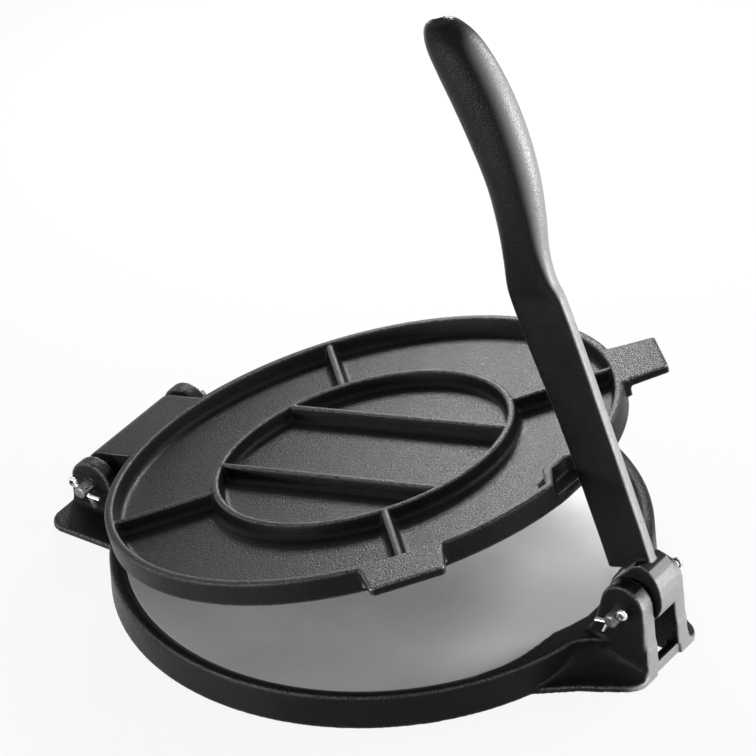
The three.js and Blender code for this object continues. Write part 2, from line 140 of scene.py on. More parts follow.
def makePiece(name, solids, matrix=Matrix.Identity(4)):
    points, faces = [], []
    for solidPoints, solidFaces in solids:
        start = len(points)
        points += [tuple((matrix @ Vector(p)) * mm) for p in solidPoints]
        faces += [tuple(start + i for i in f) for f in solidFaces]
    mesh = bpy.data.meshes.new(name)
    mesh.from_pydata(points, [], faces)
    mesh.update()
    piece = bpy.data.objects.new(name, mesh)
    bpy.context.scene.collection.objects.link(piece)
    return piece


def applyModifiers(piece):
    bpy.context.view_layer.update()
    shown = piece.evaluated_get(bpy.context.evaluated_depsgraph_get())
    mesh = bpy.data.meshes.new_from_object(shown)
    piece.modifiers.clear()
    old, piece.data = piece.data, mesh
    bpy.data.meshes.remove(old)
    mesh.name = piece.name


def addSkin(piece, voxel):
    remesh = piece.modifiers.new("skin", "REMESH")
    remesh.mode = "VOXEL"
    remesh.voxel_size = voxel * mm


def cutterFrom(name, solid, matrix=Matrix.Identity(4)):
    return makePiece(name, [solid], matrix)


# Takes the cutters away from a piece, after the modifiers that it already has
def cutOut(piece, cutters):
    for cutter in cutters:
        hole = piece.modifiers.new("hole", "BOOLEAN")
        hole.operation = "DIFFERENCE"
        hole.solver = "MANIFOLD"
        hole.object = cutter
    applyModifiers(piece)
    for cutter in cutters:
        bpy.data.objects.remove(cutter)


# Overlapping solids become one skin, and its edges and corners are rounded as sand casting leaves them
def castTogether(piece, voxel, softening, cutters):
    addSkin(piece, voxel)
    smooth = piece.modifiers.new("softEdges", "SMOOTH")
    smooth.factor = 0.5
    smooth.iterations = softening
    cutOut(piece, cutters)
    piece.data.shade_smooth()
    print(piece.name, "has", len(piece.data.polygons), "faces")


# A piece shaped in its own upright frame is put where it stands in the press
def putInPlace(piece, matrix):
    place = matrix.copy()
    place.translation = place.translation * mm
    piece.data.transform(place)


def joinPress(piece, node, body):
    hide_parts(node)
    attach(piece, body)


# Shared sizes in mm, the same as those of the solid model

shared = {
    "faceHeight": 15.9,
    "baseTop": 18.3,
    "hingeX": -148.3,
    "hingeZ": 18.7,
    "pivotX": 151.3,
    "pivotZ": 37.0,
    "crownX": 151.9,
    "crownZ": 38.6,
    "openAngle": 14.2,
    "leverLean": 18.8,
    "boreRadius": 3.85,
    "boreReach": 70,
    "pinRadius": 3.5,
}


def turnedY(x, z, degrees, y=0):
    return Matrix.Translation((x, y, z)) @ Matrix.Rotation(math.radians(degrees), 4, "Y")


def boreCutter(x, z):
    ring = circle(shared["boreRadius"], 48, x, z)
    return cutterFrom("boreCutter", prism(ring, "y", -shared["boreReach"], shared["boreReach"]))


# Base casting

baseValues = {
    "radius": 133.8,
    "draft": 0.5,
    "lipWidth": 5.2,
    "lipRound": 1.2,
    "lipSlope": 2.2,
    "faceThickness": 6.0,
    "skirt": 5.2,
    "steps": 240,
    "voxel": 0.75,
    "softening": 4,
    "underRibWall": 5.0,
    "underRibDraft": 0.9,
    "underRingRadius": 66.0,
    "padRadius": 16.0,
    "wallMiddle": 131.0,  # radius to the middle of the dish wall
    "earRadius": 12.2,
    "earOuter": 41.8,
    "earWall": 8.0,
    "footHalf": 62.0,
    "footCorner": 10.0,
    "footReach": 2.6,
    "footRoot": -114,
    "footEdge": 3.2,
    "footSweep": 6.2,
    "footTop": 6.4,
    "bodyInset": 1.6,
    "bodyBack": 1.0,
    "bodyRound": [1.2, 0.6, 0.24, 0, 0, 0, 0, 0, 0],  # how far the body's end curves in, across one ear
}


def dish(v):
    top, under = shared["baseTop"], shared["faceHeight"] - v["faceThickness"]
    outer, inner = v["radius"] - v["draft"], v["radius"] - v["skirt"]
    edge = v["lipRound"]
    face = outer - v["lipWidth"] - v["lipSlope"]
    profile = [
        (0.05, under),
        (inner - 4, under),
        *arc(inner - 4, under - 4, 4, 90, 0, 5)[1:],
        (inner, 0.4),
        (inner + 0.4, 0),
        (v["radius"] - 0.6, 0),
        (v["radius"], 0.6),
        *arc(outer - edge, top - edge, edge, 0, 90, 5),
        *arc(outer - v["lipWidth"] + 0.8, top - 0.8, 0.8, 90, 150, 3),
        (face + v["lipSlope"] * 0.3, shared["faceHeight"] + 0.9),
        (face, shared["faceHeight"] + 0.05),
        (face - 0.6, shared["faceHeight"]),
        (0.05, shared["faceHeight"]),
    ]
    return revolve(profile, v["steps"])


def underRibs(v):
    top = shared["faceHeight"] - v["faceThickness"] / 2
    reach = v["radius"] - v["skirt"] / 2
    half, draft, middle = v["underRibWall"] / 2, v["underRibDraft"], v["underRingRadius"]
    bar = prism([(-half, 0), (half, 0), (half + draft, top), (-half - draft, top)], "x", -reach, reach)
    ring = revolve([
        (middle - half, 0), (middle + half, 0), (middle + half + draft, top), (middle - half - draft, top),
    ], 120)
    pad = prism(circle(v["padRadius"], 48), "z", 0, top)
    return [turnedZ(bar, 45), turnedZ(bar, -45), ring, pad]


# A foot that sweeps up from its flat edge into the narrower body above it
def sweptFoot(low, high, edge, top, full, steps=9):
    rings = [[(x, y, z) for x, y in low] for z in (0, edge)]
    for i in range(1, steps + 1):
        t = i / steps
        spread = 1 - math.sqrt(1 - (1 - t) ** 2)
        z = edge + (top - edge) * t
        rings.append([
            (hx + (lx - hx) * spread, hy + (ly - hy) * spread, z) for (lx, ly), (hx, hy) in zip(low, high)
        ])
    rings.append([(x, y, full) for x, y in high])
    return loft(rings)


# Points at equal steps along a line
def alongLine(points, count):
    points = np.array(points, float)
    lengths = np.r_[0, np.cumsum(np.linalg.norm(np.diff(points, axis=0), axis=1))]
    places = np.linspace(0, lengths[-1], count)
    return [tuple(np.interp(places, lengths, points[:, k])[i] for k in (0, 1)) for i in range(count)]


def mirroredY(line):
    return line + [(x, -y) for x, y in reversed(line)]


# Pulls the points of a foot back to the middle of the dish wall
def keptOut(solid, wall):
    points, faces = solid
    kept = []
    for x, y, z in points:
        if math.hypot(x, y) < wall:
            x = math.copysign(math.sqrt(max(wall ** 2 - y * y, 0)), x)
        kept.append((x, y, z))
    return kept, faces


def hingeEars(v):
    x, z, r = shared["hingeX"], shared["hingeZ"], v["earRadius"]
    outer, inner, top = v["earOuter"], v["earOuter"] - v["earWall"], shared["baseTop"]
    solids = []

    def earSide(y):
        root = -math.sqrt(v["wallMiddle"] ** 2 - y ** 2)
        return [
            (root, y, 0), (root, y, top - 1.2), (x + r + 4, y, top - 3.5),
            *[(u, y, w) for u, w in arc(x, z, r, -10, 180, 22)],
            (x - r - 0.4, y, 9), (x - r - 1.2, y, 3), (x - r - 1.2, y, 0),
        ]

    # the ears, each with a low boss on its outer face
    boss = [(x + r - 1.5, 5.2), *arc(x, z, r - 0.3, 0, 180, 22), (x - r + 0.3, 5.2)]
    for side in (-1, 1):
        solids.append(loft([earSide(side * inner), earSide(side * (outer - 0.3))]))
        solids.append(prism(boss, "y", *sorted((side * (outer - 2), side * outer))))
    # their foot, with round corners, drawn from the near root to the far one
    left, half, corner = x - r - v["footReach"], v["footHalf"], v["footCorner"]
    foot = [
        (v["footRoot"], -half),
        *arc(left + corner, -half + corner, corner, 270, 180, 8),
        *arc(left + corner, half - corner, corner, 180, 90, 8),
        (v["footRoot"], half),
    ]
    end, back = outer - v["bodyInset"], x - r + v["bodyBack"]
    across = np.linspace(-end, -outer + 8, len(v["bodyRound"]))
    body = [(v["footRoot"], -end), *[(back + c, y) for c, y in zip(v["bodyRound"], across)]]
    foot, body = alongLine(foot, 90), alongLine(mirroredY(body), 90)
    swept = sweptFoot(foot, body, v["footEdge"], v["footSweep"], v["footTop"])
    return solids + [keptOut(swept, v["wallMiddle"])]


clevisValues = {
    "gap": 17.0,
    "outer": 18.3,
    "crownRadius": 12.1,
    "end": 166.3,
    "earLean": 0.022,  # an ear and its pad widen downwards from this height
    "padLean": 0.03,
    "leanTop": 38,
    "padFoot": 15.8,
    "slotRoot": 134.4,
    "slotMouth": 126,
    "webHeight": 5.5,
    "webSetback": 7,
    "footEdge": 3.0,
    "footSweep": 15.0,
    "footLine": [  # half of the arm's foot, from the dish to the front
        (119, -54.5), (122, -53), (131.5, -46.1), (140.9, -39.2), (151.4, -33.8), (159.5, -29.2),
        (162.6, -27.2), (165.0, -24.2), (166.3, -20.5), (166.3, -12),
    ],
    "armLine": [  # half of the arm above it
        (124.5, -40), (127.5, -33), (131.5, -26.5), (136.5, -21.8), (142, -19.3), (148, -17.6),
        (155, -17.0), (165.1, -17.0), (165.7, -16.4), (165.7, -12),
    ],
    "hornLine": [  # half of the horns that run in over the lip, lower than the closed plate
        (106, -71), (112, -59.1), (115.1, -49.8), (116.9, -38.3), (118.3, -26.3), (121.8, -17.4),
        (124.7, -7.4),
    ],
    "hornMiddle": (125.8, 0),
    "hornRim": 131.5,
    "hornSpan": 33.9,
}


def clevisParts(v):
    x, z, r = shared["crownX"], shared["crownZ"], v["crownRadius"]
    outer, end, ledge, full = v["outer"], v["end"], v["padFoot"], v["leanTop"]
    ear = [
        (131.2, 2), (131.2, shared["baseTop"]), (135.6, 25.5), *arc(x, z, r, 168, 0, 22),
        (end - 0.9, 14), (end, 2), (end, 0.3), (142, 0.3),
    ]
    # the raised pad on the outer side of an ear, with a ledge under its inner half
    pad = [
        (x - r - 5.0, ledge - 0.2), *arc(x, z, r - 0.2, 172, 8, 22),
        (end - 3.0, 14), (end - 2.2, 1.0), (149.5, 1.0), (147.2, ledge - 1.6), (141, ledge - 0.5),
    ]
    solids = []
    for side in (-1, 1):
        solids.append(loft([
            [(u, side * v["gap"] / 2, w) for u, w in ear],
            [(u, side * (outer - 1.5 + (full - w) * v["earLean"]), w) for u, w in ear],
        ]))
        solids.append(loft([
            [(u, side * (outer - 3), w) for u, w in pad],
            [(u, side * (outer - 0.6 + (full - w) * v["padLean"]), w) for u, w in pad],
        ]))
    foot, arm = alongLine(mirroredY(v["footLine"]), 120), alongLine(mirroredY(v["armLine"]), 120)
    swept = sweptFoot(foot, arm, v["footEdge"], v["footSweep"], shared["baseTop"], steps=12)
    solids.append(keptOut(swept, baseValues["wallMiddle"]))
    horn = [*v["hornLine"], v["hornMiddle"], *[(u, -y) for u, y in reversed(v["hornLine"])]]
    turns = np.radians(np.linspace(v["hornSpan"], -v["hornSpan"], 24))
    rim = [(v["hornRim"] * math.cos(t), v["hornRim"] * math.sin(t)) for t in turns]
    solids.append(prism(horn + rim, "z", shared["faceHeight"] - 2, shared["baseTop"]))
    return solids


# The slot that the hub turns in, the room under the web, and the step that sets the web back
def clevisCutters(v):
    half, root, end, web = v["gap"] / 2, v["slotRoot"], v["end"], v["webHeight"]
    slot = [
        (root, web), (end + 8, web), (end + 8, 80), (v["slotMouth"], 80),
        (v["slotMouth"], shared["baseTop"]), (root, shared["baseTop"]),
    ]
    under = [(root, -1), (end - v["webSetback"], -1), (end - v["webSetback"], web + 1), (root, web + 1)]
    setback = [(end - 2, -1), (end + 8, -1), (end + 8, web + 1), (end - 2, web + 1)]
    return [
        cutterFrom("slotCutter", prism(slot, "y", -half, half)),
        cutterFrom("underCutter", prism(under, "y", -half, half)),
        cutterFrom("setbackCutter", prism(setback, "y", -half - 1.5, half + 1.5)),
    ]


def makeBase(v):
    solids = [dish(v), *underRibs(v), *hingeEars(v), *clevisParts(clevisValues)]
    piece = makePiece("iron_base", solids)
    # a first skin lets the clevis be cut open before the second one rounds its edges
    addSkin(piece, v["voxel"])
    cutOut(piece, clevisCutters(clevisValues))
    bores = [
        boreCutter(shared["hingeX"], shared["hingeZ"]),
        boreCutter(shared["pivotX"], shared["pivotZ"]),
    ]
    castTogether(piece, v["voxel"], v["softening"], bores)
    joinPress(piece, "base_casting", "base")
    return piece


ironBase = makeBase(baseValues)
print("base casting made")


# Top plate casting, drawn closed with its underside at height 0

plateValues = {
    "closedGap": 0.4,  # between the lip of the base and the closed plate
    "radius": 130.0,
    "height": 12.3,
    "floor": 4.5,
    "rimTop": 4.5,
    "rimDraft": 1.3,
    "rimFillet": 2.8,
    "ringRadius": 75.8,
    "ribTop": 3.3,
    "ribDraft": 0.8,
    "ribFillet": 2.4,
    "ribDrop": 0.7,
    "slotRib": 28.9,
    "spokeAngle": 45,
    "spokeInset": 2.6,
    "tabAngle": 45,
    "tabReach": 21.5,
    "tabThickness": 4.5,
    "tabRoot": 20.6,
    "tabWebHeight": 9,
    "knuckleRadius": 11.4,
    "knuckleHalf": 29.4,
    "knuckleRoot": -126.5,
    "notchHalf": 18.5,
    "notchDepth": 11.5,
    "notchBack": 4.75,
    "notchSpread": 0.45,
    "notchFoot": 3.2,
    "notchFlat": 1.6,
    "steps": 240,
    "voxel": 0.7,
    "softening": 2,
}


# A rib's section across, with draft on its sides and fillets at its foot
def ribSection(v):
    top, wall, fillet = v["height"] - v["ribDrop"], v["ribTop"] / 2, v["ribFillet"]
    foot = wall + v["ribDraft"] + fillet
    side = [
        (wall - 0.4, top),
        (wall, top - 0.4),
        *arc(foot, v["floor"] + fillet, fillet, 192, 270, 6),
        (foot, v["floor"] / 2),
    ]
    return [(-a, b) for a, b in reversed(side)] + side


# The outline of a wall of some width that follows the notch
def notchWall(v, wall):
    back = v["radius"] - v["notchDepth"]
    lines = []
    for width in (0.0, wall):
        half, inner = v["notchHalf"] + width, v["notchBack"] + width * v["notchSpread"]
        reach = math.sqrt(v["radius"] ** 2 - half ** 2)
        lines.append(mirroredY([(reach, -half), (back - width, -inner)]))
    return lines[0] + lines[1][::-1]


def plateRim(v):
    r, top, floor, fillet = v["radius"], v["height"], v["floor"], v["rimFillet"]
    floorRadius = r - v["rimTop"] - v["rimDraft"] - fillet
    profile = [
        (r - 0.4, floor / 2), (r, floor), (r, top - 0.7), (r - 0.7, top),
        (r - v["rimTop"] + 0.6, top), (r - v["rimTop"], top - 0.6),
        *arc(floorRadius, floor + fillet, fillet, -12, -90, 6), (floorRadius, floor / 2),
    ]
    gap = math.degrees(math.asin(v["notchHalf"] / r))
    wall, foot = notchWall(v, v["rimTop"]), notchWall(v, v["rimTop"] + v["notchFoot"])
    return [
        revolve(profile, v["steps"], gap, 360 - gap),
        prism(wall, "z", floor / 2, top),
        loft([
            [(x, y, floor / 2) for x, y in foot],
            [(x, y, floor + 0.2) for x, y in foot],
            [(x, y, floor + 3.0) for x, y in wall],
        ]),
    ]


def plateRibs(v):
    section = ribSection(v)
    middle = v["ringRadius"] - v["ribTop"] / 2
    chord = math.sqrt(middle ** 2 - v["slotRib"] ** 2)
    solids = [revolve([(middle + a, b) for a, b in section], v["steps"])]
    for side in (-1, 1):
        solids.append(prism([(a + side * v["slotRib"], b) for a, b in section], "x", -chord, chord))
    spoke = prism(section, "x", middle, v["radius"] - v["spokeInset"])
    return solids + [turnedZ(spoke, v["spokeAngle"] + 90 * i) for i in range(4)]


def liftingTabs(v):
    r, top, root, end = v["radius"], v["height"], v["tabRoot"], v["radius"] + v["tabReach"]
    plan = mirroredY([
        (r - 2, -root), (r + 1.6, -root + 0.7), (r + 3.5, -root + 1),
        (end - 1.4, -root + 2.6), (end - 0.4, -root + 3), (end, -root + 4),
    ])
    web = mirroredY([(r - 2, -root), (r + 1.2, -root + 0.4)])
    tab = [prism(plan, "z", top - v["tabThickness"], top), prism(web, "z", top - v["tabWebHeight"], top)]
    return [turnedZ(solid, side * v["tabAngle"]) for solid in tab for side in (-1, 1)]


def makePlate(v):
    r, floor, steps = v["radius"], v["floor"], v["steps"]
    disc = [(0.05, 0), (r - 0.7, 0), (r, 0.7), (r, floor - 0.6), (r - 0.6, floor), (0.05, floor)]
    knuckle = [
        (v["knuckleRoot"], 0.2), (v["knuckleRoot"], v["knuckleRadius"]),
        *arc(shared["hingeX"], 0, v["knuckleRadius"], 90, 358, 60),
    ]
    piece = makePiece("iron_top_plate", [
        revolve(disc, steps), *plateRim(v), *plateRibs(v), *liftingTabs(v),
        prism(knuckle, "y", -v["knuckleHalf"], v["knuckleHalf"]),
    ])
    edge, wide = r - v["notchFlat"], v["notchHalf"] + 3.5
    flat = prism([(edge, -wide), (edge + 12, -wide), (edge + 12, wide), (edge, wide)], "z", -1, 14)
    cutters = [boreCutter(shared["hingeX"], 0.0), cutterFrom("flatCutter", flat)]
    castTogether(piece, v["voxel"], v["softening"], cutters)
    toOpen = turnedY(shared["hingeX"], shared["hingeZ"], -shared["openAngle"])
    lift = shared["baseTop"] + v["closedGap"] - shared["hingeZ"]
    putInPlace(piece, toOpen @ Matrix.Translation((-shared["hingeX"], 0, lift)))
    joinPress(piece, "top_plate_casting", "plate")
    return piece


ironPlate = makePlate(plateValues)
print("top plate made")


# Lever casting, drawn about its pivot with the bar along Z

leverValues = {
    "sections": [
        # along the bar, centre, half depth, half wall, squareness
        (15.2, 1.4, 13.1, 3.4, 6),
        (35.2, 1.95, 13.3, 3.4, 6),
        (91.2, 2.45, 13.6, 3.4, 6),
        (131.2, 1.65, 14.7, 3.4, 6),
        (157.2, 1.15, 14.7, 3.7, 5),
        (165.2, 0.75, 13.6, 4.6, 3.6),
        (179.2, 3.25, 12.5, 6.2, 2.6),
        (197.2, 7.75, 13.1, 8.2, 2.2),
        (217.2, 11.05, 14.2, 9.8, 2),
        (238.2, 11.55, 15.4, 10.7, 2),
        (258.2, 10.05, 15.9, 11, 2),
        (275.2, 7.15, 15.4, 10.8, 2),
        (288.2, 3.95, 13.4, 9.7, 2),
        (296.2, 1.55, 9.3, 6.8, 2),
        (298.7, 0.85, 5.6, 4.1, 2),
        (299.6, 0.6, 2.0, 1.5, 2),
    ],
    "rings": 150,
    "points": 64,
    "hubHalf": 8.0,
    "hub": [  # the heel of the hub, from its round part up to the bar
        (12.6, -8.5), (16.4, -4), (18.2, 1), (18.8, 6), (18.3, 11.5), (16.2, 16.3), (12.4, 19.3), (7.5, 19),
    ],
    "hubRadius": 13.4,
    "voxel": 0.6,
    "softening": 3,
}


# Rows at equal steps of their first value, on a smooth curve through the given ones
def smoothRows(rows, count):
    rows = np.array(rows, float)
    t = rows[:, 0]
    slopes = np.gradient(rows, t, axis=0)
    slopes[1:-1] = (rows[2:] - rows[:-2]) / (t[2:] - t[:-2])[:, None]
    out = []
    for w in np.linspace(t[0], t[-1], count):
        i = min(int(np.searchsorted(t, w, side="right")) - 1, len(t) - 2)
        span = t[i + 1] - t[i]
        s = (w - t[i]) / span
        out.append(
            (2 * s**3 - 3 * s**2 + 1) * rows[i] + (s**3 - 2 * s**2 + s) * span * slopes[i]
            + (3 * s**2 - 2 * s**3) * rows[i + 1] + (s**3 - s**2) * span * slopes[i + 1]
        )
    return out


# A ring that goes from an oval to a rounded flat bar as its squareness rises
def barRing(v, w, centre, depth, wall, square):
    ring = []
    for k in range(v["points"]):
        t = 2 * math.pi * (k + 0.5) / v["points"]
        c, s = math.cos(t), math.sin(t)
        ring.append((
            centre + depth * math.copysign(abs(c) ** (2 / square), c),
            wall * math.copysign(abs(s) ** (2 / square), s),
            w,
        ))
    return ring


def makeLever(v):
    bar = loft([barRing(v, *row) for row in smoothRows(v["sections"], v["rings"])])
    hub = prism(arc(0, 0, v["hubRadius"], 115, 290, 40) + v["hub"], "y", -v["hubHalf"], v["hubHalf"])
    piece = makePiece("iron_lever", [bar, hub])
    castTogether(piece, v["voxel"], v["softening"], [boreCutter(0.0, 0.0)])
    putInPlace(piece, turnedY(shared["pivotX"], shared["pivotZ"], -shared["leverLean"]))
    joinPress(piece, "lever_casting", "lever")
    return piece


ironLever = makeLever(leverValues)
print("lever made")


# Pins and split pins, which ride on the base

pinValues = {
    "chamfer": 0.6,
    "stickOut": 9.0,
    "cotterInset": 3.2,
    "crossHole": 1.6,
    "steps": 64,
    "sharpAngle": 38,
}

cotterValues = {
    "wire": 1.2,  # radius of the half round wire
    "tipShare": 0.82,  # of that radius, at the cut ends
    "eye": 1.7,  # inner radius of the eye
    "stem": 9.0,
    "leg": 6.4,
    "splay": 28.0,
    "section": 10,
}

# Where each pin runs, how far to the outer side of its ears, and how far its split pins are turned
pinSets = {
    "hinge": {"x": shared["hingeX"], "z": shared["hingeZ"], "half": baseValues["earOuter"], "turn": -62.0},
    "lever": {"x": shared["pivotX"], "z": shared["pivotZ"], "half": clevisValues["outer"], "turn": 52.0},
}


# Smooth shading that still shows the turned edges
def keepSharp(piece):
    piece.data.shade_smooth()
    piece.data.set_sharp_from_angle(angle=math.radians(pinValues["sharpAngle"]))


def faceOutward(piece):
    mesh = bmesh.new()
    mesh.from_mesh(piece.data)
    bmesh.ops.recalc_face_normals(mesh, faces=mesh.faces)
    mesh.to_mesh(piece.data)
    mesh.free()


# A turned pin with chamfered ends and a drilled cross hole near each end
def makePin(name, node, place):
    v, r = pinValues, shared["pinRadius"]
    half, bevel = place["half"] + v["stickOut"], v["chamfer"]
    ends = [
        (half, r - 1.3), (half - 0.1, r - bevel - 0.1), (half - 0.25, r - bevel + 0.15),
        (half - bevel, r - 0.08), (half - bevel - 0.3, r),
    ]
    profile = [(-y, k) for y, k in ends] + ends[::-1]
    rings = [[(u, y, w) for u, w in circle(k, v["steps"])] for y, k in profile]
    turn = turnedY(place["x"], place["z"], place["turn"])
    piece = makePiece(name, [loft(rings)], turn)
    faceOutward(piece)
    drill = prism(circle(v["crossHole"], 32), "z", -8, 8)
    cutOut(piece, [
        cutterFrom("drill", drill, turn @ Matrix.Translation((0, side * (half - v["cotterInset"]), 0)))
        for side in (-1, 1)
    ])
    keepSharp(piece)
    joinPress(piece, node, "base")
    return piece


# The path of the wire: up one leg, round the eye and down the other leg
def cotterPath(v):
    top, splay = v["stem"] / 2, math.radians(v["splay"])
    out, down = math.sin(splay) * v["leg"], math.cos(splay) * v["leg"]
    half = [
        (0.06 + out, -top - down), (0.06 + out * 0.45, -top - down * 0.42), (0.2, -top - 0.4),
        (0.06, -top + 0.8), (0.06, -top / 3), (0.06, top / 3), (0.1, top - 0.6),
    ]
    eye = arc(0, top + v["eye"] + 0.3, v["eye"], 250, -70, 24)
    path = np.array([(-u, w) for u, w in half] + eye + half[::-1])
    for _ in range(2):  # the corners are cut twice, which rounds the bends
        near, far = path[:-1], path[1:]
        middle = np.stack([near * 0.75 + far * 0.25, near * 0.25 + far * 0.75], 1).reshape(-1, 2)
        path = np.vstack([path[:1], middle, path[-1:]])
    return path


# A split pin of half round wire, its flat sides together in the stem
def makeSplitPin(name, node, place, side):
    v = cotterValues
    path = cotterPath(v)
    along = np.gradient(path, axis=0)
    along /= np.linalg.norm(along, axis=1)[:, None]
    rings = []
    for i, ((u, w), (du, dw)) in enumerate(zip(path, along)):
        share = v["tipShare"] if i in (0, len(path) - 1) else 1.0
        half = arc(0, 0, v["wire"] * share, -90, 90, v["section"])
        rings.append([(u - dw * across, out, w + du * across) for across, out in half])
    y = side * (place["half"] + pinValues["stickOut"] - pinValues["cotterInset"])
    piece = makePiece(name, [loft(rings)], turnedY(place["x"], place["z"], place["turn"], y))
    faceOutward(piece)
    keepSharp(piece)
    joinPress(piece, node, "base")
    return piece


pins, splitPins = [], []
for setName, place in pinSets.items():
    pins.append(makePin("steel_" + setName + "_pin", setName + "_pin", place))
    for side, hand in ((-1, "left"), (1, "right")):
        node = setName + "_cotter_" + hand
        splitPins.append(makeSplitPin("zinc_" + node, node, place, side))
print("pins and split pins made")


# Shader helpers: a value in a node is either a number or another node's output

def connect(tree, pairs):
    for outSocket, inSocket in pairs:
        tree.links.new(outSocket, inSocket)


def feed(tree, socket, value):
    if isinstance(value, (int, float)):
        socket.default_value = value
    elif isinstance(value, tuple):
        socket.default_value = (*value, 1)
    else:
        tree.links.new(value, socket)


def mathNode(tree, operation, first, second=0.5, clamp=False):
    node = tree.nodes.new("ShaderNodeMath")
    node.operation = operation
    node.use_clamp = clamp
    feed(tree, node.inputs[0], first)
    feed(tree, node.inputs[1], second)
    return node.outputs[0]


def times(tree, first, *others):
    for other in others:
        first = mathNode(tree, "MULTIPLY", first, other)
    return first


def noiseNode(tree, vector, scale, detail=2.0, roughness=0.5):
    node = tree.nodes.new("ShaderNodeTexNoise")
    node.inputs["Detail"].default_value = detail
    node.inputs["Roughness"].default_value = roughness
    tree.links.new(vector, node.inputs["Vector"])
    feed(tree, node.inputs["Scale"], scale)
    return node.outputs["Fac"]


def rampNode(tree, value, low, high, outLow=0.0, outHigh=1.0):
    node = tree.nodes.new("ShaderNodeMapRange")
    node.interpolation_type = "SMOOTHSTEP"
    node.inputs["From Min"].default_value = low
    node.inputs["From Max"].default_value = high
    node.inputs["To Min"].default_value = outLow
    node.inputs["To Max"].default_value = outHigh
    tree.links.new(value, node.inputs["Value"])
    return node.outputs[0]


def mixNode(tree, kind, factor, first, second):
    node = tree.nodes.new("ShaderNodeMix")
    node.data_type = kind
    # the sockets of the three kinds follow each other in the one node
    at = {"FLOAT": 2, "VECTOR": 4, "RGBA": 6}[kind]
    feed(tree, node.inputs[0], factor)
    feed(tree, node.inputs[at], first)
    feed(tree, node.inputs[at + 1], second)
    return node.outputs[at // 2 - 1]


def bumpNode(tree, height, distance):
    node = tree.nodes.new("ShaderNodeBump")
    node.inputs["Distance"].default_value = distance
    node.inputs["Strength"].default_value = 1.0
    tree.links.new(height, node.inputs["Height"])
    return node.outputs[0]


def newMaterial(name):
    material = bpy.data.materials.new(name)
    material.use_nodes = True
    return material, material.node_tree, material.node_tree.nodes["Principled BSDF"]


# Node groups for the effects that more than one finish uses. An input without a value takes a vector

def newGroup(name, inputs, outputs):
    group = bpy.data.node_groups.new(name, "ShaderNodeTree")
    for socketName, value in inputs.items():
        kind = "NodeSocketVector" if value is None else "NodeSocketFloat"
        socket = group.interface.new_socket(socketName, in_out="INPUT", socket_type=kind)
        if value is not None:
            socket.default_value = value
    for socketName in outputs:
        group.interface.new_socket(socketName, in_out="OUTPUT", socket_type="NodeSocketFloat")
    given = group.nodes.new("NodeGroupInput").outputs
    return group, given, group.nodes.new("NodeGroupOutput").inputs


def placeGroup(tree, group, values):
    node = tree.nodes.new("ShaderNodeGroup")
    node.node_tree = group
    for name, value in values.items():
        feed(tree, node.inputs[name], value)
    return node.outputs


# The sand skin of a casting: fine grains, soft lumps and scattered pits, as a height and a mask
def makeSandGrain():
    inputs = {"Vector": None, "Grain Size": 0.0008, "Lumps": 0.3, "Pits": 0.18}
    group, given, out = newGroup("sandGrain", inputs, ["Height", "Grain", "Patches"])
    vector, scale = given["Vector"], mathNode(group, "DIVIDE", 1.0, given["Grain Size"])
    grain = noiseNode(group, vector, scale, 3.0, 0.6)
    coarse = noiseNode(group, vector, times(group, scale, 0.22))
    patches = noiseNode(group, vector, times(group, scale, 0.025), 3.0, 0.55)
    pits = group.nodes.new("ShaderNodeTexVoronoi")
    pits.feature = "F1"
    connect(group, [(vector, pits.inputs["Vector"]), (times(group, scale, 0.45), pits.inputs["Scale"])])
    pit = rampNode(group, pits.outputs["Distance"], 0.05, 0.28)
    height = mathNode(group, "ADD", grain, times(group, coarse, given["Lumps"]))
    height = mathNode(group, "ADD", height, times(group, pit, given["Pits"]))
    connect(group, [(height, out["Height"]), (grain, out["Grain"]), (patches, out["Patches"])])
    return group


# Where an edge stands out it gets a painted highlight, a brighter colour; where a corner goes in it is
# given a darker colour
def makeEdgeHighlightAndCorner():
    inputs = {"Edge Start": 0.52, "Edge End": 0.6, "Grain": 0.5}
    group, given, out = newGroup("edgeHighlightAndCorner", inputs, ["Edge", "Corner"])
    point = group.nodes.new("ShaderNodeNewGeometry").outputs["Pointiness"]
    span = mathNode(group, "SUBTRACT", given["Edge End"], given["Edge Start"])
    past = mathNode(group, "SUBTRACT", point, given["Edge Start"])
    edge = mathNode(group, "DIVIDE", past, span, clamp=True)
    broken = rampNode(group, given["Grain"], 0.3, 0.62)
    corner = rampNode(group, point, 0.48, 0.42)
    connect(group, [(times(group, edge, edge, broken), out["Edge"]), (corner, out["Corner"])])
    return group


# Painted highlight on the faces turned along X and beyond a plane, as if a lamp at the side lit them
def makeXFaceHighlightMask():
    inputs = {"Vector": None, "Normal": None, "Start": 0.158, "Grain": 0.5}
    group, given, out = newGroup("xFaceHighlightMask", inputs, ["Mask"])
    place = group.nodes.new("ShaderNodeSeparateXYZ")
    turn = group.nodes.new("ShaderNodeSeparateXYZ")
    connect(group, [(given["Vector"], place.inputs[0]), (given["Normal"], turn.inputs[0])])
    beyond = mathNode(group, "GREATER_THAN", place.outputs["X"], given["Start"])
    facing = rampNode(group, mathNode(group, "ABSOLUTE", turn.outputs["X"]), 0.42, 0.98)
    mottle = rampNode(group, given["Grain"], 0.12, 0.4)
    connect(group, [(times(group, beyond, facing, mottle), out["Mask"])])
    return group


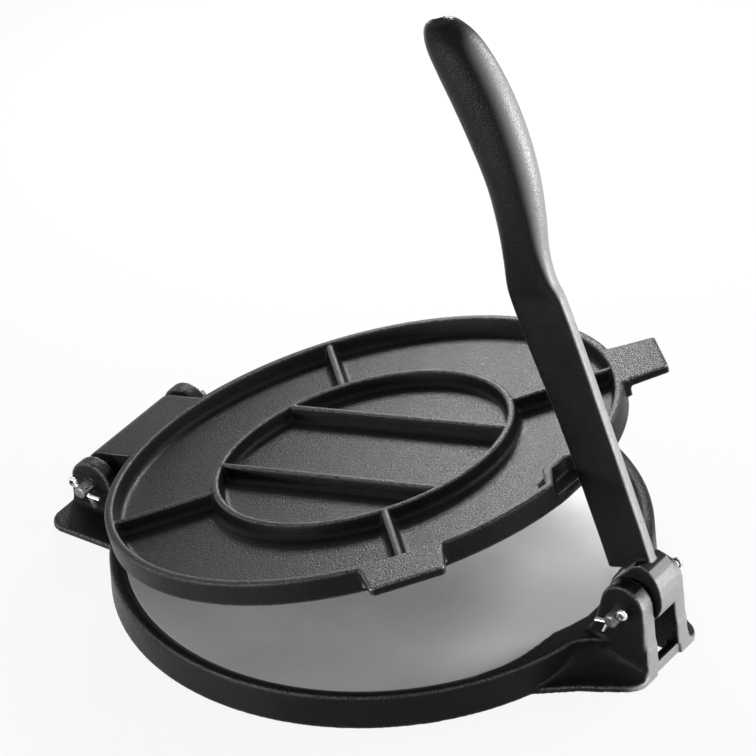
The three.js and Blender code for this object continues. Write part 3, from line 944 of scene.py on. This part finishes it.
# A turned face: a flat disc between two heights, with fine lathe rings and smears of oil
def makeTurnedFace():
    inputs = {"Vector": None, "Radius": 0.1255, "Low": 0.0, "High": 1.0, "Ring Width": 0.0009}
    group, given, out = newGroup("turnedFace", inputs, ["Mask", "Rings", "Smears"])
    split = group.nodes.new("ShaderNodeSeparateXYZ")
    group.links.new(given["Vector"], split.inputs[0])
    x, y, z = split.outputs
    square = mathNode(group, "ADD", times(group, x, x), times(group, y, y))
    reach = mathNode(group, "SQRT", square)
    inside = mathNode(group, "LESS_THAN", reach, given["Radius"])
    above = mathNode(group, "GREATER_THAN", z, given["Low"])
    below = mathNode(group, "LESS_THAN", z, given["High"])
    turns = mathNode(group, "DIVIDE", times(group, reach, 2 * math.pi), given["Ring Width"])
    rings = mathNode(group, "ADD", times(group, mathNode(group, "SINE", turns), 0.5), 0.5)
    smears = noiseNode(group, given["Vector"], 14.0, 4.0, 0.6)
    mask = times(group, inside, above, below)
    connect(group, [(mask, out["Mask"]), (rings, out["Rings"]), (smears, out["Smears"])])
    return group


sandGrain = makeSandGrain()
edgeHighlightAndCorner = makeEdgeHighlightAndCorner()
xFaceHighlightMask = makeXFaceHighlightMask()
turnedFace = makeTurnedFace()


# Finishes

ironValues = {
    "colour": (0.0034, 0.0035, 0.0037),
    "patch": (0.006, 0.0062, 0.0064),
    # painted highlight colour for the edges that stand out
    "edgeHighlight": (0.48, 0.485, 0.49),
    # painted highlight colour for the faces turned along X
    "xFaceHighlight": (0.38, 0.385, 0.39),
    "roughness": 0.36,
    "roughSpread": 0.14,
    "specular": 0.083,
    # metal of the painted highlight on edges
    "edgeHighlightMetal": 0.9,
    # metal of the painted highlight on faces turned along X
    "xFaceHighlightMetal": 0.5,
    "grainSize": 0.0009,
    "grainDepth": 0.00032,
    "edgeStart": 0.506,
    "edgeEnd": 0.575,
}

silverValues = {
    "colour": (0.68, 0.685, 0.69),
    "smear": (0.58, 0.585, 0.59),
    "roughness": 0.42,
    "metal": 0.2,
    "ringDepth": 0.00002,
}

# Heights and radii in metres, on the closed press
ironFaces = {
    # the painted highlight on faces turned along X starts at this X on the base, and at 0 on the lever
    "base": {"xFaceHighlightStart": 0.1585, "turned": {"Radius": 0.1256, "Low": 0.0155, "High": 0.0163}},
    "plate": {"turned": {"Radius": 0.1275, "Low": 0.0, "High": 0.019}, "open": shared["openAngle"]},
    "lever": {"xFaceHighlightStart": 0.0},
}


# A point of the opened plate, turned back about the hinge to where it is on the closed press
def closedAgain(tree, place, degrees):
    node = tree.nodes.new("ShaderNodeVectorRotate")
    node.rotation_type = "Y_AXIS"
    node.inputs["Center"].default_value = (shared["hingeX"] * mm, 0, shared["hingeZ"] * mm)
    node.inputs["Angle"].default_value = math.radians(degrees)
    tree.links.new(place, node.inputs["Vector"])
    return node.outputs[0]


# Seasoned iron, with painted highlights on the edges that stand out and on the faces turned along X, and
# the round face that is turned silver
def makeIron(name, v, faces, silver):
    material, tree, skin = newMaterial(name)
    skin.inputs["Specular IOR Level"].default_value = v["specular"]
    where = tree.nodes.new("ShaderNodeTexCoord")
    place = where.outputs["Object"]
    sand = placeGroup(tree, sandGrain, {"Vector": place, "Grain Size": v["grainSize"]})
    grain = sand["Grain"]
    edge = placeGroup(tree, edgeHighlightAndCorner, {
        "Edge Start": v["edgeStart"], "Edge End": v["edgeEnd"], "Grain": grain,
    })["Edge"]
    colour = mixNode(tree, "RGBA", rampNode(tree, sand["Patches"], 0.35, 0.65), v["colour"], v["patch"])
    # painted highlight: edges that stand out take a light, part-metal colour
    colour = mixNode(tree, "RGBA", edge, colour, v["edgeHighlight"])
    metal = times(tree, edge, v["edgeHighlightMetal"])
    spread = v["roughSpread"]
    rough = rampNode(tree, grain, 0.2, 0.8, v["roughness"] - spread, v["roughness"] + spread)
    normal = bumpNode(tree, sand["Height"], v["grainDepth"])
    # painted highlight: faces turned along X take a light, part-metal colour, as if lit from the side
    if "xFaceHighlightStart" in faces:
        xFaceHighlight = placeGroup(tree, xFaceHighlightMask, {
            "Vector": place, "Normal": where.outputs["Normal"],
            "Start": faces["xFaceHighlightStart"], "Grain": grain,
        })["Mask"]
        colour = mixNode(tree, "RGBA", xFaceHighlight, colour, v["xFaceHighlight"])
        metal = mathNode(tree, "MAXIMUM", metal, times(tree, xFaceHighlight, v["xFaceHighlightMetal"]))
    if "turned" in faces:
        if "open" in faces:
            place = closedAgain(tree, place, faces["open"])
        disc = placeGroup(tree, turnedFace, {"Vector": place, **faces["turned"]})
        mask, smears = disc["Mask"], disc["Smears"]
        bright = mixNode(tree, "RGBA", rampNode(tree, smears, 0.3, 0.7), silver["colour"], silver["smear"])
        satin = rampNode(tree, smears, 0.3, 0.75, silver["roughness"] - 0.05, silver["roughness"] + 0.08)
        colour = mixNode(tree, "RGBA", mask, colour, bright)
        rough = mixNode(tree, "FLOAT", mask, rough, satin)
        metal = mathNode(tree, "MAXIMUM", metal, times(tree, mask, silver["metal"]))
        normal = mixNode(tree, "VECTOR", mask, normal, bumpNode(tree, disc["Rings"], silver["ringDepth"]))
    connect(tree, [
        (colour, skin.inputs["Base Color"]),
        (metal, skin.inputs["Metallic"]),
        (rough, skin.inputs["Roughness"]),
        (normal, skin.inputs["Normal"]),
    ])
    return material


def setMaterial(piece, material):
    piece.data.materials.clear()
    piece.data.materials.append(material)


for part, piece in (("base", ironBase), ("plate", ironPlate), ("lever", ironLever)):
    setMaterial(piece, makeIron(part + "Iron", ironValues, ironFaces[part], silverValues))
print("iron finishes made")


brightValues = {
    "zincBright": {
        "colour": (0.72, 0.73, 0.74),
        "mottle": (0.45, 0.46, 0.47),
        "roughness": 0.28,
        "metal": 0.9,
        "streak": 1.0,
    },
    "pinSteel": {
        "colour": (0.16, 0.165, 0.17),
        "mottle": (0.06, 0.062, 0.065),
        "roughness": 0.36,
        "metal": 0.9,
        "streak": 6.0,
    },
}


# Bright wire and turned steel: cloudy plating, fine streaks across the axis and darker corners
def makeBright(name, v):
    material, tree, skin = newMaterial(name)
    skin.inputs["Metallic"].default_value = v["metal"]
    place = tree.nodes.new("ShaderNodeTexCoord").outputs["Object"]
    stretch = tree.nodes.new("ShaderNodeMapping")
    stretch.inputs["Scale"].default_value = (1, v["streak"], 1)
    tree.links.new(place, stretch.inputs["Vector"])
    cloud = noiseNode(tree, place, 420.0, 3.0, 0.6)
    streak = noiseNode(tree, stretch.outputs[0], 2600.0, 2.0, 0.6)
    corner = placeGroup(tree, edgeHighlightAndCorner, {"Edge Start": 0.52, "Edge End": 0.62, "Grain": cloud})["Corner"]
    colour = mixNode(tree, "RGBA", rampNode(tree, cloud, 0.42, 0.7), v["colour"], v["mottle"])
    # the inward corners take the darker colour
    colour = mixNode(tree, "RGBA", corner, colour, v["mottle"])
    rough = rampNode(tree, streak, 0.3, 0.7, v["roughness"] - 0.08, v["roughness"] + 0.12)
    connect(tree, [
        (colour, skin.inputs["Base Color"]),
        (rough, skin.inputs["Roughness"]),
        (bumpNode(tree, streak, 0.00003), skin.inputs["Normal"]),
    ])
    return material


for finish, pieces in (("zincBright", splitPins), ("pinSteel", pins)):
    material = makeBright(finish, brightValues[finish])
    for piece in pieces:
        setMaterial(piece, material)
print("pin finishes made")


# Floor and light

stageValues = {
    "floorSize": 6.0,
    "floorDrop": 0.0002,
    "floorPaint": 0.6,
    "floorWhite": 0.9,
    "ambient": 0.36,
}

lampValues = {
    "key": {
        "place": (0.38, 0.62, 0.62),
        "aim": (0.05, 0.0, 0.05),
        "size": (0.25, 0.25),
        "power": 4.15,
    },
    "sheen": {
        "place": (-0.373, 0.476, 0.287),
        "aim": (0.12, 0.0, 0.09),
        "size": (0.14, 0.14),
        "power": 3.8,
    },
    "side": {
        "place": (1.0, 0.2, 0.25),
        "aim": (0.1, 0.0, 0.06),
        "size": (0.4, 0.4),
        "power": 5.4,
    },
    "front": {
        "place": (-0.3, -0.9, 0.05),
        "aim": (0.05, 0.0, 0.03),
        "size": (0.6, 0.08),
        "power": 8.1,
    },
}


def makeLamp(name, v):
    data = bpy.data.lights.new(name, "AREA")
    data.shape = "RECTANGLE"
    data.size, data.size_y = v["size"]
    data.energy = v["power"]
    lamp = bpy.data.objects.new(name, data)
    lamp.location = v["place"]
    lamp.rotation_mode = "QUATERNION"
    lamp.rotation_quaternion = (Vector(v["place"]) - Vector(v["aim"])).to_track_quat("Z", "Y")
    bpy.context.scene.collection.objects.link(lamp)


for lampName, values in lampValues.items():
    makeLamp(lampName + "Lamp", values)


# White where a camera, glossy or transmitted ray sees it, and dim for the light itself
def whiteToTheEye(tree):
    path = tree.nodes.new("ShaderNodeLightPath")
    seen = mathNode(tree, "MAXIMUM", path.outputs["Is Camera Ray"], path.outputs["Is Glossy Ray"])
    return mathNode(tree, "MAXIMUM", seen, path.outputs["Is Transmission Ray"])


def makeWorld(v):
    world = bpy.data.worlds.new("studio")
    bpy.context.scene.world = world
    world.use_nodes = True
    tree = world.node_tree
    back = tree.nodes["Background"]
    back.inputs["Color"].default_value = (1, 1, 1, 1)
    mix = tree.nodes.new("ShaderNodeMapRange")
    mix.inputs["To Min"].default_value = v["ambient"]
    mix.inputs["To Max"].default_value = 1.0
    connect(tree, [(whiteToTheEye(tree), mix.inputs["Value"]), (mix.outputs[0], back.inputs["Strength"])])


# The floor keeps a faint share of its own paint, so that the shadow of the press still shows
def makeFloor(v):
    half, z = v["floorSize"] / 2, -v["floorDrop"]
    mesh = bpy.data.meshes.new("paleFloor")
    corners = [(-half, -half, z), (half, -half, z), (half, half, z), (-half, half, z)]
    mesh.from_pydata(corners, [], [(0, 1, 2, 3)])
    floor = bpy.data.objects.new("paleFloor", mesh)
    bpy.context.scene.collection.objects.link(floor)
    material, tree, paint = newMaterial("paleFloor")
    paint.inputs["Base Color"].default_value = (v["floorPaint"], v["floorPaint"], v["floorPaint"], 1)
    paint.inputs["Roughness"].default_value = 0.9
    paint.inputs["Specular IOR Level"].default_value = 0.1
    white = tree.nodes.new("ShaderNodeEmission")
    white.inputs["Strength"].default_value = 1.0
    mix = tree.nodes.new("ShaderNodeMixShader")
    connect(tree, [
        (times(tree, whiteToTheEye(tree), v["floorWhite"]), mix.inputs["Fac"]),
        (paint.outputs[0], mix.inputs[1]),
        (white.outputs[0], mix.inputs[2]),
        (mix.outputs[0], tree.nodes["Material Output"].inputs["Surface"]),
    ])
    setMaterial(floor, material)


makeWorld(stageValues)
makeFloor(stageValues)
print("floor and lamps made")

bpy.context.scene.view_settings.view_transform = "Standard"
